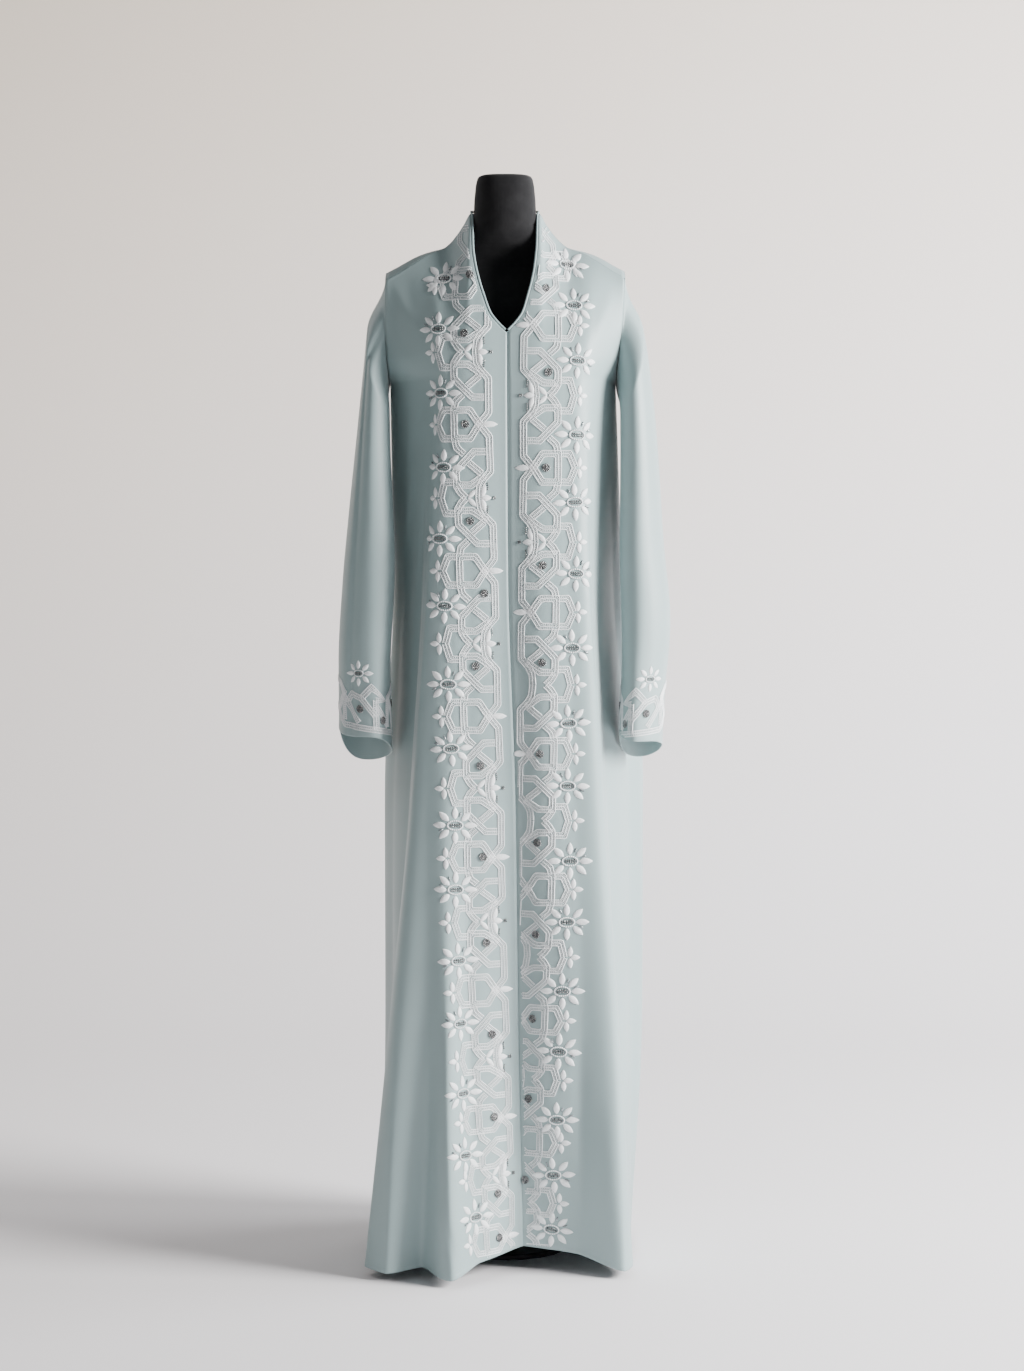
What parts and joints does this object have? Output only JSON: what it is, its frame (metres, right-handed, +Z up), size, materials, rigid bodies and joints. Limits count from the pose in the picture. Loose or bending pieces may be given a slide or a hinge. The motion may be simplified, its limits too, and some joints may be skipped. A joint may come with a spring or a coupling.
{
  "type": "embroidered abaya on a dress form",
  "caption": "Long pale satin abaya, closed down the front, with long sleeves and embroidered bands and cuffs, on a plain black limbless dress form.",
  "frame": {"origin": "on the floor under the axis of the dress form, in the middle of the garment's width", "axes": "+Z up the garment, the garment faces -Y, the wearer's left is +X"},
  "size_m": [0.4856, 0.4049, 1.594],
  "materials": {
    "satin_crepe": "satin",
    "silk_embroidery": "satin",
    "black_jersey": "matte",
    "black_steel": "satin"
  },
  "bodies": {
    "root": {"front_right": "satin_crepe", "front_left": "satin_crepe", "back": "satin_crepe", "sleeve_right": "satin_crepe", "sleeve_left": "satin_crepe", "neck_binding": "silk_embroidery", "flower_right_01": "silk_embroidery", "flower_right_02": "silk_embroidery", "flower_right_03": "silk_embroidery", "flower_right_04": "silk_embroidery", "flower_right_05": "silk_embroidery", "flower_right_06": "silk_embroidery", "flower_right_07": "silk_embroidery", "flower_right_08": "silk_embroidery", "flower_right_09": "silk_embroidery", "flower_right_10": "silk_embroidery", "flower_right_11": "silk_embroidery", "flower_right_12": "silk_embroidery", "flower_right_13": "silk_embroidery", "flower_right_14": "silk_embroidery", "flower_right_15": "silk_embroidery", "flower_left_01": "silk_embroidery", "flower_left_02": "silk_embroidery", "flower_left_03": "silk_embroidery", "flower_left_04": "silk_embroidery", "flower_left_05": "silk_embroidery", "flower_left_06": "silk_embroidery", "flower_left_07": "silk_embroidery", "flower_left_08": "silk_embroidery", "flower_left_09": "silk_embroidery", "flower_left_10": "silk_embroidery", "flower_left_11": "silk_embroidery", "flower_left_12": "silk_embroidery", "flower_left_13": "silk_embroidery", "flower_left_14": "silk_embroidery", "flower_left_15": "silk_embroidery", "flower_left_16": "silk_embroidery", "flower_cuff_right": "silk_embroidery", "flower_cuff_left": "silk_embroidery", "dress_form": "black_jersey", "stand_pole": "black_steel", "stand_base": "black_steel"}
  },
  "joints": []
}
